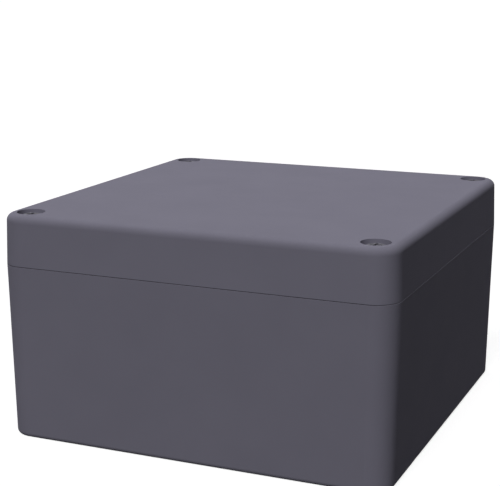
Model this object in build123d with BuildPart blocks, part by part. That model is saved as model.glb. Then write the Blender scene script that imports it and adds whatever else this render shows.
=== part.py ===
from build123d import *
import os

os.makedirs("parts", exist_ok=True)

# A die cast aluminium box in the usual 160 x 160 x 90 mm size, shown closed.
# The origin is the middle of its underside, +Z is up and the front face looks along -Y.
# Millimetres and degrees.

# Outside of the casting, measured at the parting line between base and lid
box_length = 160.0
box_width = 160.0
base_height = 70.0
lid_height = 20.0
corner_radius = 10.0
base_draft = 1.1
lid_draft = 1.8
inner_draft = 0.5
base_edge_radius = 2.0
lid_edge_radius = 3.0
parting_edge_radius = 0.25

# The rim: a flat land outside, a raised tongue inside it
land_width = 2.9
tongue_width = 2.0
tongue_height = 2.0
tongue_edge_radius = 0.3

# Walls
floor_thickness = 4.0
floor_corner_radius = 1.5
lid_top_thickness = 4.0
lid_lip_width = 2.0
lid_ceiling_radius = 1.5

# Wall mounting: four deep wells in the corner columns, outside the seal
mount_inset_x = 10.0
mount_inset_y = 25.0
mount_well_diameter = 12.4
mount_hole_diameter = 6.5
mount_floor_thickness = 6.0
column_wall_x = 4.0
column_wall_y = 5.6
column_nose_radius = 11.0
column_root_radius = 3.0

# Lid screws: M5 pan head with a cross recess, 25 mm long
screw_inset = 10.0
screw_diameter = 5.0
screw_length = 25.0
screw_tip_chamfer = 0.6
head_diameter = 9.5
head_height = 3.7
head_dome_radius = 40.0
head_shoulder_radius = 2.2
recess_width = 4.8
recess_wing = 1.1
recess_depth = 2.2
recess_taper = 5.0
recess_lead = 1.0

# Holes for the lid screws
screw_hole_clearance = 0.25
thread_clearance = 0.1
thread_hole_depth = 18.0
thread_mouth_diameter = 6.5
thread_mouth_depth = 2.0
head_clearance = 0.75
head_sink = 0.8

# Circuit board on six bosses cast into the floor
board_thickness = 1.6
board_edge_clearance = 2.1
board_column_clearance_x = 2.7
board_column_clearance_y = 1.5
board_notch_radius = 12.5
board_hole_diameter = 6.0
board_hole_inset = 7.9
board_hole_notch_inset = 4.0
boss_height = 6.0
boss_diameter = 8.5
boss_hole_diameter = 3.6
boss_hole_depth = 6.5

# The seal, held in a groove of the lid over the tongue
groove_clearance = 0.3
gasket_thickness = 2.0
gasket_side_clearance = 0.1
gasket_edge_radius = 0.4

# Smallest root radius that the sealing profile keeps where it turns a corner
least_root_radius = 0.5

# Sizes that follow from those above
mount_pitch_x = box_length - 2 * mount_inset_x
mount_pitch_y = box_width - 2 * mount_inset_y
screw_pitch_x = box_length - 2 * screw_inset
screw_pitch_y = box_width - 2 * screw_inset
cavity_length = box_length - 2 * (land_width + tongue_width)
cavity_width = box_width - 2 * (land_width + tongue_width)
column_reach_x = mount_well_diameter / 2 + column_wall_x
column_reach_y = mount_well_diameter / 2 + column_wall_y
parting_height = base_height
box_height = base_height + lid_height
board_height = floor_thickness + boss_height
board_length = cavity_length - 2 * board_edge_clearance
board_width = cavity_width - 2 * board_edge_clearance
board_notch_y = mount_pitch_y / 2 - column_reach_y - board_column_clearance_y
board_hole_pitch = board_notch_y - board_hole_notch_inset
groove_depth = tongue_height + gasket_thickness
counterbore_diameter = head_diameter + 2 * head_clearance
counterbore_depth = head_height + head_sink
head_seat_height = box_height - counterbore_depth


def mount_places():
    """The wall mounting holes, one in each corner column."""
    return GridLocations(mount_pitch_x, mount_pitch_y, 2, 2)


def screw_places():
    """The lid screws, one in each corner."""
    return GridLocations(screw_pitch_x, screw_pitch_y, 2, 2)


def boss_places():
    """The board's bosses and holes, three along each side."""
    return GridLocations(board_length - 2 * board_hole_inset, board_hole_pitch, 2, 3)


def room_outline(length, width, gap_x, gap_y, nose_radius, root_radius):
    """A rectangle with a round-nosed bite at each corner, a gap away from the corner columns."""
    bite_length = (length - mount_pitch_x) / 2 + column_reach_x + gap_x
    bite_width = (width - mount_pitch_y) / 2 + column_reach_y + gap_y
    with BuildSketch() as outline:
        Rectangle(length, width)
        with GridLocations(length - bite_length, width - bite_width, 2, 2):
            Rectangle(bite_length, bite_width, mode=Mode.SUBTRACT)
        if root_radius > 0:
            fillet(outline.vertices().sort_by_distance((0, 0, 0))[4:], root_radius)
        fillet(outline.vertices().sort_by_distance((0, 0, 0))[:4], nose_radius)
    return outline.sketch


def rim_outline(grow):
    """The rim's inside edge with its four column bites, grown outwards by an amount."""
    return room_outline(
        cavity_length + 2 * grow,
        cavity_width + 2 * grow,
        -grow,
        -grow,
        column_nose_radius - grow,
        max(column_root_radius + grow, least_root_radius),
    )


# Base: drafted outside, cavity with four corner columns, tongue, wells, screw holes, bosses
with BuildPart() as base:
    with BuildSketch(Plane.XY.offset(parting_height)):
        RectangleRounded(box_length, box_width, corner_radius)
    extrude(amount=-base_height, taper=base_draft)
    fillet(base.edges().group_by(Axis.Z)[0], base_edge_radius)
    fillet(base.edges().group_by(Axis.Z)[-1], parting_edge_radius)

    with BuildSketch(Plane.XY.offset(parting_height)):
        add(rim_outline(0))
    extrude(amount=floor_thickness - base_height, taper=inner_draft, mode=Mode.SUBTRACT)
    floor_edges = base.faces().filter_by(Plane.XY).filter_by(
        lambda f: abs(f.center().Z - floor_thickness) < 0.01
    )[0].outer_wire().edges()
    fillet(floor_edges, floor_corner_radius)

    with BuildSketch(Plane.XY.offset(parting_height)):
        add(rim_outline(tongue_width))
        add(rim_outline(0), mode=Mode.SUBTRACT)
    extrude(amount=tongue_height)
    fillet(base.edges().group_by(Axis.Z)[-1], tongue_edge_radius)

    with BuildSketch(Plane.XY.offset(floor_thickness)):
        with boss_places():
            Circle(boss_diameter / 2)
    extrude(amount=boss_height)
    with Locations(Plane.XY.offset(board_height)):
        with boss_places():
            Hole(boss_hole_diameter / 2, depth=boss_hole_depth)

    with Locations(Plane.XY.offset(parting_height)):
        with mount_places():
            CounterBoreHole(
                radius=mount_hole_diameter / 2,
                counter_bore_radius=mount_well_diameter / 2,
                counter_bore_depth=base_height - mount_floor_thickness,
            )
        with screw_places():
            CounterBoreHole(
                radius=screw_diameter / 2 + thread_clearance,
                counter_bore_radius=thread_mouth_diameter / 2,
                counter_bore_depth=thread_mouth_depth,
                depth=thread_hole_depth,
            )
base.part.label = "base"
export_step(base.part, "parts/base.step")

# Lid: drafted outside, hollow, with the seal groove and four counterbored screw holes
with BuildPart() as lid:
    with BuildSketch(Plane.XY.offset(parting_height)):
        RectangleRounded(box_length, box_width, corner_radius)
    extrude(amount=lid_height, taper=lid_draft)
    fillet(lid.edges().group_by(Axis.Z)[-1], lid_edge_radius)
    fillet(lid.edges().group_by(Axis.Z)[0], parting_edge_radius)

    with BuildSketch(Plane.XY.offset(parting_height)):
        add(rim_outline(-groove_clearance - lid_lip_width))
    extrude(amount=lid_height - lid_top_thickness, taper=inner_draft, mode=Mode.SUBTRACT)
    ceiling_height = box_height - lid_top_thickness
    ceiling_edges = lid.faces().filter_by(Plane.XY).filter_by(
        lambda f: abs(f.center().Z - ceiling_height) < 0.01
    )[0].outer_wire().edges()
    fillet(ceiling_edges, lid_ceiling_radius)

    with BuildSketch(Plane.XY.offset(parting_height)):
        add(rim_outline(tongue_width + groove_clearance))
        add(rim_outline(-groove_clearance), mode=Mode.SUBTRACT)
    extrude(amount=groove_depth, mode=Mode.SUBTRACT)

    with Locations(Plane.XY.offset(box_height)):
        with screw_places():
            CounterBoreHole(
                radius=screw_diameter / 2 + screw_hole_clearance,
                counter_bore_radius=counterbore_diameter / 2,
                counter_bore_depth=counterbore_depth,
            )
lid.part.label = "lid"
export_step(lid.part, "parts/lid.step")

# Gasket: one closed ring in the bottom of the lid's groove, resting on the tongue
with BuildPart() as gasket:
    with BuildSketch(Plane.XY.offset(parting_height + tongue_height)):
        add(rim_outline(tongue_width + groove_clearance - gasket_side_clearance))
        add(rim_outline(gasket_side_clearance - groove_clearance), mode=Mode.SUBTRACT)
    extrude(amount=gasket_thickness)
    fillet(gasket.edges().group_by(Axis.Z)[0], gasket_edge_radius)
gasket.part.label = "gasket"
export_step(gasket.part, "parts/gasket.step")

# Circuit board: bare, notched round the columns, with three holes along each side edge
with BuildPart() as board:
    with BuildSketch(Plane.XY.offset(board_height)):
        add(room_outline(
            board_length,
            board_width,
            board_column_clearance_x,
            board_column_clearance_y,
            board_notch_radius,
            0,
        ))
        with boss_places():
            Circle(board_hole_diameter / 2, mode=Mode.SUBTRACT)
    extrude(amount=board_thickness)
board.part.label = "circuit_board"
export_step(board.part, "parts/circuit_board.step")

# Lid screws: a turned pan head and shank with a cross recess, one at each corner
screw_names = {
    (-1, -1): "lid_screw_front_left",
    (1, -1): "lid_screw_front_right",
    (-1, 1): "lid_screw_back_left",
    (1, 1): "lid_screw_back_right",
}
for (side_x, side_y), screw_name in screw_names.items():
    screw_x = side_x * screw_pitch_x / 2
    screw_y = side_y * screw_pitch_y / 2
    screw_axis = Axis((screw_x, screw_y, 0), (0, 0, 1))
    profile_plane = Plane(origin=(screw_x, screw_y, head_seat_height), x_dir=(1, 0, 0), z_dir=(0, -1, 0))
    dome_drop = head_dome_radius - (head_dome_radius**2 - head_diameter**2 / 4) ** 0.5
    with BuildPart() as screw:
        with BuildSketch(profile_plane) as profile:
            with BuildLine():
                Polyline(
                    (0, head_height),
                    (0, -screw_length),
                    (screw_diameter / 2 - screw_tip_chamfer, -screw_length),
                    (screw_diameter / 2, screw_tip_chamfer - screw_length),
                    (screw_diameter / 2, 0),
                    (head_diameter / 2, 0),
                    (head_diameter / 2, head_height - dome_drop),
                )
                RadiusArc((head_diameter / 2, head_height - dome_drop), (0, head_height), -head_dome_radius)
            make_face()
            fillet(profile.vertices().sort_by(Axis.Y)[-2], head_shoulder_radius)
        revolve(axis=screw_axis)
        with BuildSketch(Plane.XY.offset(head_seat_height + head_height + recess_lead)):
            with Locations((screw_x, screw_y)):
                Rectangle(recess_width, recess_wing)
                Rectangle(recess_wing, recess_width)
        extrude(amount=-recess_lead - recess_depth, taper=recess_taper, mode=Mode.SUBTRACT)
    screw.part.label = screw_name
    export_step(screw.part, f"parts/{screw_name}.step")
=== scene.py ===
import math

import bmesh
import bpy
from mathutils import Matrix, Vector


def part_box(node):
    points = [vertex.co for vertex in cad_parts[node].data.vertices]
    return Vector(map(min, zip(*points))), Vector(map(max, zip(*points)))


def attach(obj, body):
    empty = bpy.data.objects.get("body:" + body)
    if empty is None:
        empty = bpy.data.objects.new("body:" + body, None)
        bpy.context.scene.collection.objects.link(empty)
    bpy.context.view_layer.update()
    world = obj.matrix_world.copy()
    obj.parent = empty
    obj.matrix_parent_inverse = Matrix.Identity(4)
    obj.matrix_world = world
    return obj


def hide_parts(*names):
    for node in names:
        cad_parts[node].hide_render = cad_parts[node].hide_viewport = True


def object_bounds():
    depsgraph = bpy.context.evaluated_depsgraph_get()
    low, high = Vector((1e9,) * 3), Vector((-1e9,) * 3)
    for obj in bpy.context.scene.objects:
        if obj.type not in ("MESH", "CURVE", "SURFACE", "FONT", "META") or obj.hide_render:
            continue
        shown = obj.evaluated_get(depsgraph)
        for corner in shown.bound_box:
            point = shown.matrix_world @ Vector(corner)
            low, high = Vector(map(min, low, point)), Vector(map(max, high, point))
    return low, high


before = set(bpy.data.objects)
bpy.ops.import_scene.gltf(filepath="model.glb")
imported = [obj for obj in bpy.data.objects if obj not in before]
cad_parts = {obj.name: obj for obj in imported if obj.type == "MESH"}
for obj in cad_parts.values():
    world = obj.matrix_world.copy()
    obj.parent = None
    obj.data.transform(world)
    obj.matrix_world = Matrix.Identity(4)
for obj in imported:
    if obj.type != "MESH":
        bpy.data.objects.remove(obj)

# A die cast aluminium box with a circuit board inside, closed at rest. Metres, +Z up.
CAD_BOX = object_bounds()
MM = 0.001

# Camera, in the frame's metres and in degrees; yaw turns left from +Y, pitch is up from level
PHOTO_WIDTH = 500
CAMERA_PLACE = (0.20132, -0.48423, 0.18674)
CAMERA_YAW = 23.348
CAMERA_PITCH = -12.638
CAMERA_ROLL = -0.118
FOCAL_LENGTH_PIXELS = 1280.6
SENSOR_WIDTH = 36.0
CLIP_NEAR = 0.02
CLIP_FAR = 200.0

# Lamps, all distant. Azimuth turns right from the front, elevation is up from the floor and softness
# is the lamp's width, in degrees. Most cast no shadow, so that the board and the open base stay as
# bright as in the photo.
LAMPS = {
    "key_lamp": {"azimuth": 2, "elevation": 53, "strength": 0.93, "softness": 16, "shadow": False},
    "shadow_lamp": {"azimuth": 2, "elevation": 53, "strength": 0.5, "softness": 16, "shadow": True},
    "side_lamp": {"azimuth": 24, "elevation": 13, "strength": 0.34, "softness": 16, "shadow": False},
    "back_lamp": {"azimuth": -165, "elevation": 64, "strength": 0.8, "softness": 20, "shadow": False},
    "fill_lamp": {"azimuth": -130, "elevation": 30, "strength": 0.45, "softness": 40, "shadow": False},
    "left_lamp": {"azimuth": -105, "elevation": 12, "strength": 0.35, "softness": 30, "shadow": False},
}

# World: a white background, and a dim light from all around
WHITE = (1, 1, 1, 1)
BACKGROUND_STRENGTH = 1.0
AMBIENT_STRENGTH = 0.01

# Floor
FLOOR_RADIUS = 30.0
FLOOR_SEGMENTS = 96
FLOOR_COLOUR = (0.90, 0.90, 0.90)
FLOOR_GLOW = 0.40
FLOOR_BOUNCE_COLOUR = (0.03, 0.03, 0.03)
FLOOR_GAP = 0.02 * MM

# Most of a noise pattern's values lie in this range
NOISE_LOW = 0.3
NOISE_HIGH = 0.7

# A face counts as upright or as level when its normal's upward share is past these
UPRIGHT_SHARE = 0.3
LEVEL_SHARE = 0.7

# Casting: matt grey
CASTING_GREY = (0.238, 0.229, 0.290)
CASTING_LIGHT_GREY = (0.248, 0.239, 0.302)
CASTING_CLOUD_SIZE = 22 * MM
CASTING_PATCH_SIZE = 6 * MM
CASTING_WAVE_SIZE = 9 * MM
CASTING_WAVE_DEPTH = 0.03 * MM
CASTING_WAVE_STRENGTH = 0.15
CASTING_GRAIN_SIZE = 0.55 * MM
CASTING_GRAIN_DEPTH = 0.02 * MM
CASTING_GRAIN_STRENGTH = 0.25
CASTING_ROUGHNESS = (0.88, 0.94)
CASTING_SPECULAR = 0.04

# Painted shade along the seam between base and lid, put in the colour since most lamps cast no shadow
# there: how near the other half must be to darken the edge, how much it darkens, and how much of the
# view it has to cover for the darkening to start and to be full
GAP_REACH = 0.6 * MM
GAP_SHADE = 0.20
GAP_SAMPLES = 8
GAP_COVER_START = 0.05
GAP_COVER_FULL = 0.25

# The box's outline in plan, and how far inside it the seam's painted shade starts and is full
BOX_SIDE = 160.0 * MM
CORNER_RADIUS = 10.0 * MM
SEAM_BAND_START = 0.30 * MM
SEAM_BAND_FULL = 0.25 * MM

# Board: solder mask on the faces, bare woven laminate at the cut edges, in a darker green that is painted
# shade on the upright sides
BOARD_GREEN = (0.011, 0.345, 0.091)
BOARD_LIGHT_GREEN = (0.013, 0.362, 0.098)
SHADED_LAMINATE_EDGE = (0.004, 0.170, 0.050)
SHADED_LAMINATE_LIGHT_EDGE = (0.006, 0.205, 0.060)
BOARD_CLOUD_SIZE = 30 * MM
BOARD_PATCH_SIZE = 4 * MM
BOARD_LAYER_SIZE = 0.4 * MM
BOARD_LAYER_STRETCH = (0.1, 0.1, 3.0)
BOARD_WEAVE_SIZE = 0.7 * MM
BOARD_WEAVE_DEPTH = 0.01 * MM
BOARD_WEAVE_STRENGTH = 0.12
BOARD_GRAIN_SIZE = 0.5 * MM
BOARD_GRAIN_DEPTH = 0.02 * MM
BOARD_GRAIN_STRENGTH = 0.15
BOARD_ROUGHNESS = (0.80, 0.88)
BOARD_SPECULAR = 0.03

# Gasket: black foamed rubber
RUBBER_BLACK = (0.018, 0.018, 0.020)
RUBBER_LIGHT_BLACK = (0.034, 0.034, 0.037)
RUBBER_CLOUD_SIZE = 4 * MM
RUBBER_PATCH_SIZE = 2 * MM
RUBBER_CELL_SIZE = 0.35 * MM
RUBBER_CELL_DEPTH = 0.05 * MM
RUBBER_CELL_STRENGTH = 0.5
RUBBER_ROUGHNESS = (0.75, 0.92)
RUBBER_SPECULAR = 0.3

# Screws: dark plated steel
STEEL_GREY = (0.118, 0.115, 0.138)
STEEL_LIGHT_GREY = (0.140, 0.137, 0.163)
STEEL_STAIN_SIZE = 3 * MM
STEEL_MARK_SIZE = 1.5 * MM
STEEL_MARK_STRETCH = (0.2, 0.2, 9.0)
STEEL_MARK_DEPTH = 0.02 * MM
STEEL_MARK_STRENGTH = 0.12
STEEL_ROUGHNESS = (0.62, 0.74)
STEEL_SPECULAR = 0.15

# Node and material slot of each piece that keeps its own mesh
NODE_SLOTS = {"base": "casting", "lid": "casting", "gasket": "gasket", "circuit_board": "board"}

# Lid screws: M5, plain below the head and threaded at the end; node and body of each
SCREW_NODES = {
    "lid_screw_front_left": "screw_front_left",
    "lid_screw_front_right": "screw_front_right",
    "lid_screw_back_left": "screw_back_left",
    "lid_screw_back_right": "screw_back_right",
}
SCREW_LENGTH = 25.0 * MM
SCREW_SEGMENTS = 72
SCREW_SMOOTH_ANGLE = 38
SHANK_RADIUS = 2.5 * MM

# Head, with the steps of its roundings
HEAD_DOME_RADIUS = 40.0 * MM
HEAD_DOME_STEPS = 14
HEAD_SHOULDER_RADIUS = 2.2 * MM
HEAD_SHOULDER_STEPS = 10
HEAD_HEIGHT = 3.7 * MM
HEAD_EDGE_RADIUS = 0.15 * MM
SEAT_FILLET = 0.2 * MM
EDGE_STEPS = 4

# Thread; the profile is the share of the full radius along one pitch, from groove to groove
THREAD_PROFILE = (0.0, 0.15, 1.0, 1.0, 0.85, 0.0)
THREAD_PITCH = 0.8 * MM
THREAD_DEPTH = 0.49 * MM
THREAD_LENGTH = 11.2 * MM
THREAD_RUNOUT = 0.9 * MM
TIP_RADIUS = 1.95 * MM
TIP_CHAMFER = 0.6 * MM
SCREW_TIP = -SCREW_LENGTH
THREAD_START = SCREW_TIP + 0.05 * MM
THREAD_TOP = SCREW_TIP + THREAD_LENGTH
ROWS_PER_TURN = len(THREAD_PROFILE)
ROW_STEP = THREAD_PITCH / ROWS_PER_TURN
ROW_COUNT = int((THREAD_LENGTH - 2 * THREAD_PITCH) / ROW_STEP)

# Cross recess: it narrows to RECESS_TAPER where its point begins, at a share of the depth
RECESS_WIDTH = 4.8 * MM
RECESS_WING = 1.1 * MM
RECESS_DEPTH = 2.2 * MM
RECESS_MOUTH_SCALE = 1.05
RECESS_TAPER = 0.86
RECESS_POINT_START = 0.75
RECESS_POINT_SCALE = 0.6


class Nodes:
    """Builds a material's node tree with short calls."""

    def __init__(self, name):
        self.material = bpy.data.materials.new(name)
        self.material.use_nodes = True
        self.tree = self.material.node_tree
        self.tree.nodes.clear()
        self.output = self.add("ShaderNodeOutputMaterial")

    def add(self, kind, **settings):
        node = self.tree.nodes.new(kind)
        for key, value in settings.items():
            setattr(node, key, value)
        return node

    def link(self, source, target):
        self.tree.links.new(source, target)

    def vector_math(self, operation, source):
        """A vector calculation on a source; its second input is still to be set."""
        node = self.add("ShaderNodeVectorMath", operation=operation)
        self.link(source, node.inputs[0])
        return node

    def combined(self, operation, first, second):
        """A number worked out from two others."""
        node = self.add("ShaderNodeMath", operation=operation)
        self.link(first, node.inputs[0])
        self.link(second, node.inputs[1])
        return node.outputs["Value"]

    def place(self):
        """The piece's own coordinates, in metres."""
        return self.add("ShaderNodeTexCoord").outputs["Object"]

    def noise(self, size, detail=2.0, roughness=0.5, stretch=(1, 1, 1)):
        """Noise whose cells are about size metres across."""
        mapping = self.add("ShaderNodeMapping")
        mapping.inputs["Scale"].default_value = stretch
        self.link(self.place(), mapping.inputs["Vector"])
        noise = self.add("ShaderNodeTexNoise")
        noise.inputs["Scale"].default_value = 1 / size
        noise.inputs["Detail"].default_value = detail
        noise.inputs["Roughness"].default_value = roughness
        self.link(mapping.outputs["Vector"], noise.inputs["Vector"])
        return noise.outputs["Fac"]

    def between(self, value, low, high, start=0.0, end=1.0):
        """value moved from start..end to low..high."""
        node = self.add("ShaderNodeMapRange")
        node.inputs["From Min"].default_value = start
        node.inputs["From Max"].default_value = end
        node.inputs["To Min"].default_value = low
        node.inputs["To Max"].default_value = high
        self.link(value, node.inputs["Value"])
        return node.outputs["Result"]

    def spread(self, noise, low=0.0, high=1.0):
        """Noise moved to low..high from the range that most of it lies in."""
        return self.between(noise, low, high, NOISE_LOW, NOISE_HIGH)

    def blend(self, factor, first, second):
        """A colour between two colours."""
        node = self.add("ShaderNodeMix", data_type="RGBA")
        node.inputs["A"].default_value = (*first, 1)
        node.inputs["B"].default_value = (*second, 1)
        self.link(factor, node.inputs["Factor"])
        return node.outputs["Result"]

    def mix(self, factor, first, second):
        """A colour between two colours that vary themselves."""
        node = self.add("ShaderNodeMix", data_type="RGBA")
        self.link(first, node.inputs["A"])
        self.link(second, node.inputs["B"])
        self.link(factor, node.inputs["Factor"])
        return node.outputs["Result"]

    def faces_up(self):
        """1 on level faces, upper and lower ones, and 0 on upright ones."""
        normal = self.add("ShaderNodeTexCoord").outputs["Normal"]
        size = self.vector_math("ABSOLUTE", normal)
        parts = self.add("ShaderNodeSeparateXYZ")
        self.link(size.outputs["Vector"], parts.inputs["Vector"])
        return self.between(parts.outputs["Z"], 0.0, 1.0, UPRIGHT_SHARE, LEVEL_SHARE)

    def outer_edge(self):
        """1 in a narrow band along the box's outline in plan, a rounded square, and 0 inside it."""
        straight = BOX_SIDE / 2 - CORNER_RADIUS
        size = self.vector_math("ABSOLUTE", self.place())
        past = self.vector_math("SUBTRACT", size.outputs["Vector"])
        past.inputs[1].default_value = (straight, straight, BOX_SIDE)
        outside = self.vector_math("MAXIMUM", past.outputs["Vector"])
        distance = self.vector_math("LENGTH", outside.outputs["Vector"]).outputs["Value"]
        start = CORNER_RADIUS - SEAM_BAND_START
        full = CORNER_RADIUS - SEAM_BAND_FULL
        return self.between(distance, 0.0, 1.0, start, full)

    def openness(self, own_piece_only):
        """How much of the near view is free, of this piece alone or of every piece."""
        node = self.add("ShaderNodeAmbientOcclusion", samples=GAP_SAMPLES, only_local=own_piece_only)
        node.inputs["Distance"].default_value = GAP_REACH
        return node.outputs["AO"]

    def painted_seam_shade(self, colour):
        """The colour with painted shade on the box's outer edge where another piece lies close, standing in
        for the seam's shadow.
        """
        covered = self.combined("SUBTRACT", self.openness(True), self.openness(False))
        seam = self.combined("MULTIPLY", covered, self.outer_edge())
        shade = self.between(seam, 1.0, GAP_SHADE, GAP_COVER_START, GAP_COVER_FULL)
        darker = self.vector_math("SCALE", colour)
        self.link(shade, darker.inputs["Scale"])
        return darker.outputs["Vector"]

    def bump(self, height, strength, depth, under=None):
        """The surface's normal with bumps on it, on top of those under it."""
        node = self.add("ShaderNodeBump")
        node.inputs["Strength"].default_value = strength
        node.inputs["Distance"].default_value = depth
        self.link(height, node.inputs["Height"])
        if under is not None:
            self.link(under, node.inputs["Normal"])
        return node.outputs["Normal"]

    def surface(self, colour, roughness, normal, specular):
        """The shader itself."""
        shader = self.add("ShaderNodeBsdfPrincipled")
        self.link(colour, shader.inputs["Base Color"])
        self.link(roughness, shader.inputs["Roughness"])
        self.link(normal, shader.inputs["Normal"])
        shader.inputs["Specular IOR Level"].default_value = specular
        self.link(shader.outputs["BSDF"], self.output.inputs["Surface"])
        return self.material


def casting_material():
    """Matt grey die casting: a fine grain, soft clouds in shade and gloss, and a faint waviness."""
    nodes = Nodes("cast_aluminium")
    clouds = nodes.spread(nodes.noise(CASTING_CLOUD_SIZE, detail=3.0))
    # The casting's colour carries painted shade along the seam between base and lid.
    colour = nodes.painted_seam_shade(nodes.blend(clouds, CASTING_GREY, CASTING_LIGHT_GREY))
    roughness = nodes.spread(nodes.noise(CASTING_PATCH_SIZE, detail=4.0), *CASTING_ROUGHNESS)
    waves = nodes.noise(CASTING_WAVE_SIZE)
    wavy = nodes.bump(waves, CASTING_WAVE_STRENGTH, CASTING_WAVE_DEPTH)
    grain = nodes.noise(CASTING_GRAIN_SIZE, detail=3.0, roughness=0.6)
    normal = nodes.bump(grain, CASTING_GRAIN_STRENGTH, CASTING_GRAIN_DEPTH, under=wavy)
    return nodes.surface(colour, roughness, normal, CASTING_SPECULAR)


def board_material():
    """Green solder mask over a woven laminate; the cut edges show the laminate's layers, darker with
    painted shade on the upright sides.
    """
    nodes = Nodes("green_board")
    clouds = nodes.spread(nodes.noise(BOARD_CLOUD_SIZE))
    mask = nodes.blend(clouds, BOARD_GREEN, BOARD_LIGHT_GREEN)
    layers = nodes.spread(nodes.noise(BOARD_LAYER_SIZE, stretch=BOARD_LAYER_STRETCH))
    # The cut edges' darker green is painted shade of the board's upright sides; the layers in it are the
    # laminate's own.
    cut = nodes.blend(layers, SHADED_LAMINATE_EDGE, SHADED_LAMINATE_LIGHT_EDGE)
    colour = nodes.mix(nodes.faces_up(), cut, mask)
    weave = nodes.add("ShaderNodeTexChecker")
    weave.inputs["Scale"].default_value = 1 / BOARD_WEAVE_SIZE
    nodes.link(nodes.place(), weave.inputs["Vector"])
    woven = nodes.bump(weave.outputs["Fac"], BOARD_WEAVE_STRENGTH, BOARD_WEAVE_DEPTH)
    grain = nodes.noise(BOARD_GRAIN_SIZE)
    normal = nodes.bump(grain, BOARD_GRAIN_STRENGTH, BOARD_GRAIN_DEPTH, under=woven)
    roughness = nodes.spread(nodes.noise(BOARD_PATCH_SIZE, detail=3.0), *BOARD_ROUGHNESS)
    return nodes.surface(colour, roughness, normal, BOARD_SPECULAR)


def gasket_material():
    """Black foamed rubber with a fine open grain."""
    nodes = Nodes("foam_rubber")
    clouds = nodes.noise(RUBBER_CLOUD_SIZE, detail=3.0)
    colour = nodes.blend(clouds, RUBBER_BLACK, RUBBER_LIGHT_BLACK)
    roughness = nodes.between(nodes.noise(RUBBER_PATCH_SIZE), *RUBBER_ROUGHNESS)
    cells = nodes.add("ShaderNodeTexVoronoi")
    cells.inputs["Scale"].default_value = 1 / RUBBER_CELL_SIZE
    nodes.link(nodes.place(), cells.inputs["Vector"])
    normal = nodes.bump(cells.outputs["Distance"], RUBBER_CELL_STRENGTH, RUBBER_CELL_DEPTH)
    return nodes.surface(colour, roughness, normal, RUBBER_SPECULAR)


def screw_material():
    """Dark plated steel with fine turning marks round the axis."""
    nodes = Nodes("dark_steel")
    stains = nodes.spread(nodes.noise(STEEL_STAIN_SIZE, detail=3.0))
    colour = nodes.blend(stains, STEEL_GREY, STEEL_LIGHT_GREY)
    marks = nodes.noise(STEEL_MARK_SIZE, detail=3.0, stretch=STEEL_MARK_STRETCH)
    roughness = nodes.spread(marks, *STEEL_ROUGHNESS)
    normal = nodes.bump(marks, STEEL_MARK_STRENGTH, STEEL_MARK_DEPTH)
    return nodes.surface(colour, roughness, normal, STEEL_SPECULAR)


def new_object(name, mesh, material):
    """A new piece in the scene with one material."""
    piece = bpy.data.objects.new(name, mesh)
    bpy.context.scene.collection.objects.link(piece)
    mesh.materials.clear()
    mesh.materials.append(material)
    return piece


def finished(mesh, name):
    """The built mesh as Blender's mesh data, its faces turned outwards."""
    bmesh.ops.recalc_face_normals(mesh, faces=mesh.faces)
    data = bpy.data.meshes.new(name)
    mesh.to_mesh(data)
    mesh.free()
    return data


def arc(centre, radius, start, end, steps):
    """Points (r, z) on an arc, angles in degrees from +r towards +z, both ends included."""
    points = []
    for step in range(steps + 1):
        angle = math.radians(start + (end - start) * step / steps)
        points.append((centre[0] + radius * math.cos(angle), centre[1] + radius * math.sin(angle)))
    return points


def head_profile(head_radius):
    """Points (r, z) from the plain shank up to the top of the dome; the head's seat is at z 0."""
    dome_centre = HEAD_HEIGHT - HEAD_DOME_RADIUS
    inner = HEAD_DOME_RADIUS - HEAD_SHOULDER_RADIUS
    shoulder_r = head_radius - HEAD_SHOULDER_RADIUS
    shoulder_z = dome_centre + math.sqrt(inner**2 - shoulder_r**2)
    dome_angle = math.degrees(math.atan2(shoulder_z - dome_centre, shoulder_r))
    seat = (SHANK_RADIUS + SEAT_FILLET, -SEAT_FILLET)
    edge = (head_radius - HEAD_EDGE_RADIUS, HEAD_EDGE_RADIUS)
    return [
        *arc(seat, SEAT_FILLET, 180, 90, EDGE_STEPS),
        *arc(edge, HEAD_EDGE_RADIUS, -90, 0, EDGE_STEPS),
        *arc((shoulder_r, shoulder_z), HEAD_SHOULDER_RADIUS, 0, dome_angle, HEAD_SHOULDER_STEPS),
        *arc((0, dome_centre), HEAD_DOME_RADIUS, dome_angle, 90, HEAD_DOME_STEPS)[1:-1],
    ]


def ring(mesh, points):
    """One turn of vertices round the axis, from their radii and heights."""
    step = 2 * math.pi / SCREW_SEGMENTS
    vertices = []
    for i, (radius, height) in enumerate(points):
        x = radius * math.cos(i * step)
        y = radius * math.sin(i * step)
        vertices.append(mesh.verts.new((x, y, height)))
    return vertices


def level_ring(mesh, radius, height):
    """One turn of vertices at one height."""
    return ring(mesh, [(radius, height)] * SCREW_SEGMENTS)


def join(mesh, lower, upper, closed=True):
    """Faces between two turns of vertices, with or without the one from the last to the first."""
    for i in range(SCREW_SEGMENTS if closed else SCREW_SEGMENTS - 1):
        j = (i + 1) % SCREW_SEGMENTS
        mesh.faces.new((lower[i], lower[j], upper[j], upper[i]))


def cap(mesh, points, height, flip):
    """A fan of faces that closes a turn of vertices."""
    centre = mesh.verts.new((0, 0, height))
    for i in range(SCREW_SEGMENTS):
        j = (i + 1) % SCREW_SEGMENTS
        corners = (points[i], points[j], centre)
        mesh.faces.new(corners[::-1] if flip else corners)


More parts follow.
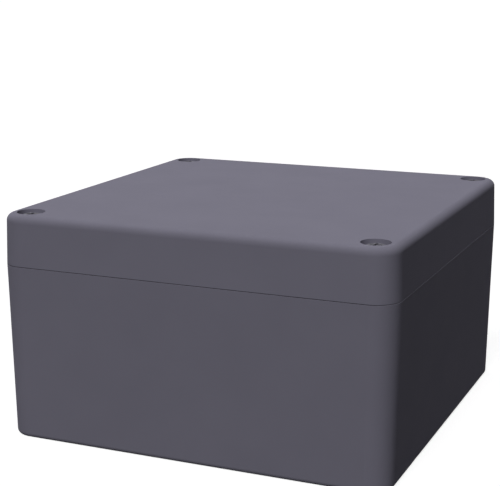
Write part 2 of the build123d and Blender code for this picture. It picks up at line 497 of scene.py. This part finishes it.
def thread_point(row, i):
    """Radius and height on the thread: it climbs, fades out at the shank and is chamfered at the tip."""
    turn = i / SCREW_SEGMENTS
    height = THREAD_START + row * ROW_STEP + THREAD_PITCH * turn
    groove = 1.0 - THREAD_PROFILE[row % ROWS_PER_TURN]
    fade = min(max((THREAD_TOP - height) / THREAD_RUNOUT, 0.0), 1.0)
    radius = SHANK_RADIUS - THREAD_DEPTH * groove * fade
    chamfer = TIP_RADIUS + (SHANK_RADIUS - TIP_RADIUS) * (height - SCREW_TIP) / TIP_CHAMFER
    return min(radius, chamfer), height


def add_thread(mesh):
    """The threaded end, and the plain shank's first ring, which is returned."""
    last = SCREW_SEGMENTS - 1
    bottom = level_ring(mesh, TIP_RADIUS, SCREW_TIP)
    rows = []
    for row in range(ROW_COUNT):
        rows.append(ring(mesh, [thread_point(row, i) for i in range(SCREW_SEGMENTS)]))
    cap(mesh, bottom, SCREW_TIP, flip=True)
    join(mesh, bottom, rows[0], closed=False)
    first_turn = [row[0] for row in rows[:ROWS_PER_TURN + 1]]
    mesh.faces.new((bottom[last], bottom[0], *first_turn, rows[0][last]))
    for row in range(ROW_COUNT - 1):
        join(mesh, rows[row], rows[row + 1], closed=False)
        beyond = row + ROWS_PER_TURN
        if beyond + 1 < ROW_COUNT:
            next_turn = (rows[beyond][0], rows[beyond + 1][0])
            mesh.faces.new((rows[row][last], *next_turn, rows[row + 1][last]))
    shank_start = level_ring(mesh, SHANK_RADIUS, THREAD_TOP)
    join(mesh, rows[-1], shank_start, closed=False)
    last_turn = [row[last] for row in rows[-ROWS_PER_TURN - 1:]]
    mesh.faces.new((*reversed(last_turn), rows[-1][0], shank_start[0], shank_start[last]))
    return shank_start


def screw_mesh(name, head_radius):
    """A whole screw about the Z axis, seat of the head at z 0, as one closed surface."""
    mesh = bmesh.new()
    lower = add_thread(mesh)
    for radius, height in head_profile(head_radius):
        upper = level_ring(mesh, radius, height)
        join(mesh, lower, upper)
        lower = upper
    cap(mesh, lower, HEAD_HEIGHT, flip=False)
    return finished(mesh, name)


def recess_mesh():
    """The cross that the driver fits: four wings that narrow downwards and end in a blunt point."""
    mesh = bmesh.new()
    long, short = RECESS_WIDTH / 2, RECESS_WING / 2
    corners = [
        (long, -short), (long, short), (short, short), (short, long), (-short, long), (-short, short),
        (-long, short), (-long, -short), (-short, -short), (-short, -long), (short, -long), (short, -short),
    ]
    levels = [
        (HEAD_HEIGHT + RECESS_WING, RECESS_MOUTH_SCALE),
        (HEAD_HEIGHT - RECESS_DEPTH * RECESS_POINT_START, RECESS_TAPER),
        (HEAD_HEIGHT - RECESS_DEPTH, RECESS_TAPER * RECESS_POINT_SCALE),
    ]
    rings = [[mesh.verts.new((x * scale, y * scale, z)) for x, y in corners] for z, scale in levels]
    for upper, lower in zip(rings, rings[1:]):
        for i in range(len(corners)):
            j = (i + 1) % len(corners)
            mesh.faces.new((lower[i], lower[j], upper[j], upper[i]))
    mesh.faces.new(rings[0])
    mesh.faces.new(rings[-1][::-1])
    return finished(mesh, "recess_cutter")


def cut_recess(screw):
    """Cuts the cross out of the screw's head and leaves a plain mesh behind."""
    cutter = bpy.data.objects.new("recess_cutter", recess_mesh())
    bpy.context.scene.collection.objects.link(cutter)
    modifier = screw.modifiers.new("recess", "BOOLEAN")
    modifier.operation = "DIFFERENCE"
    modifier.solver = "EXACT"
    modifier.object = cutter
    graph = bpy.context.evaluated_depsgraph_get()
    cut = bpy.data.meshes.new_from_object(screw.evaluated_get(graph))
    screw.modifiers.clear()
    screw.data = cut
    bpy.data.objects.remove(cutter)


def make_screws(material):
    """Four threaded screws in the places of the plain ones."""
    for node, body in SCREW_NODES.items():
        low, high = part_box(node)
        screw = new_object(f"{node}_threaded", screw_mesh(node, (high.x - low.x) / 2), material)
        cut_recess(screw)
        centre = (low + high) / 2
        screw.data.transform(Matrix.Translation((centre.x, centre.y, low.z + SCREW_LENGTH)))
        screw.data.shade_smooth()
        screw.data.set_sharp_from_angle(angle=math.radians(SCREW_SMOOTH_ANGLE))
        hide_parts(node)
        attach(screw, body)


def dress_nodes(materials):
    """Gives each CAD node its material."""
    for node, slot in NODE_SLOTS.items():
        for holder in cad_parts[node].material_slots:
            holder.material = materials[slot]


def shows_background(tree):
    """1 for rays that show the background: straight from the camera, reflected or through glass."""
    path = tree.nodes.new("ShaderNodeLightPath")
    total = path.outputs["Is Camera Ray"]
    for more in ("Is Glossy Ray", "Is Transmission Ray"):
        either = tree.nodes.new("ShaderNodeMath")
        either.operation = "MAXIMUM"
        tree.links.new(total, either.inputs[0])
        tree.links.new(path.outputs[more], either.inputs[1])
        total = either.outputs["Value"]
    return total


def floor_material():
    """White where it is seen, with the object's shadow on it; dark where it would light the object."""
    nodes = Nodes("floor")
    seen = shows_background(nodes.tree)
    surface = nodes.add("ShaderNodeBsdfDiffuse")
    nodes.link(nodes.blend(seen, FLOOR_BOUNCE_COLOUR, FLOOR_COLOUR), surface.inputs["Color"])
    glow = nodes.add("ShaderNodeEmission")
    nodes.link(nodes.between(seen, 0.0, FLOOR_GLOW), glow.inputs["Strength"])
    both = nodes.add("ShaderNodeAddShader")
    nodes.link(surface.outputs["BSDF"], both.inputs[0])
    nodes.link(glow.outputs["Emission"], both.inputs[1])
    nodes.link(both.outputs["Shader"], nodes.output.inputs["Surface"])
    return nodes.material


def make_floor():
    """A wide round floor just under the box."""
    mesh = bmesh.new()
    bmesh.ops.create_circle(mesh, cap_ends=True, segments=FLOOR_SEGMENTS, radius=FLOOR_RADIUS)
    data = bpy.data.meshes.new("floor")
    mesh.to_mesh(data)
    mesh.free()
    floor = new_object("floor", data, floor_material())
    floor.location.z = CAD_BOX[0].z - FLOOR_GAP


def background(tree, strength):
    """White light from all around."""
    node = tree.nodes.new("ShaderNodeBackground")
    node.inputs["Color"].default_value = WHITE
    node.inputs["Strength"].default_value = strength
    return node.outputs["Background"]


def make_world():
    """White behind the object, and a dim even light on it."""
    world = bpy.data.worlds.new("studio")
    bpy.context.scene.world = world
    world.use_nodes = True
    tree = world.node_tree
    tree.nodes.clear()
    choose = tree.nodes.new("ShaderNodeMixShader")
    tree.links.new(shows_background(tree), choose.inputs["Fac"])
    tree.links.new(background(tree, AMBIENT_STRENGTH), choose.inputs[1])
    tree.links.new(background(tree, BACKGROUND_STRENGTH), choose.inputs[2])
    output = tree.nodes.new("ShaderNodeOutputWorld")
    tree.links.new(choose.outputs["Shader"], output.inputs["Surface"])


def make_lamp(name, azimuth, elevation, strength, softness, shadow):
    """A distant soft lamp that shines towards the object from a direction."""
    data = bpy.data.lights.new(name, "SUN")
    data.energy = strength
    data.angle = math.radians(softness)
    data.use_shadow = shadow
    lamp = bpy.data.objects.new(name, data)
    bpy.context.scene.collection.objects.link(lamp)
    turn, rise = math.radians(azimuth), math.radians(elevation)
    level = math.cos(rise)
    towards_lamp = Vector((math.sin(turn) * level, -math.cos(turn) * level, math.sin(rise)))
    lamp.rotation_mode = "QUATERNION"
    lamp.rotation_quaternion = towards_lamp.to_track_quat("Z", "Y")
    lamp.location = towards_lamp


def make_camera():
    """The photo's viewpoint."""
    data = bpy.data.cameras.new("camera")
    data.sensor_width = SENSOR_WIDTH
    data.lens = FOCAL_LENGTH_PIXELS / PHOTO_WIDTH * SENSOR_WIDTH
    data.clip_start = CLIP_NEAR
    data.clip_end = CLIP_FAR
    camera = bpy.data.objects.new("camera", data)
    bpy.context.scene.collection.objects.link(camera)
    turn = Matrix.Rotation(math.radians(CAMERA_YAW), 4, "Z")
    tilt = Matrix.Rotation(math.radians(90 + CAMERA_PITCH), 4, "X")
    roll = Matrix.Rotation(math.radians(CAMERA_ROLL), 4, "Z")
    camera.matrix_world = Matrix.Translation(CAMERA_PLACE) @ turn @ tilt @ roll
    bpy.context.scene.camera = camera


bpy.context.scene.view_settings.view_transform = "Standard"
make_camera()
dress_nodes({
    "casting": casting_material(),
    "board": board_material(),
    "gasket": gasket_material(),
})
make_screws(screw_material())
make_floor()
make_world()
for lamp_name, lamp_settings in LAMPS.items():
    make_lamp(lamp_name, **lamp_settings)
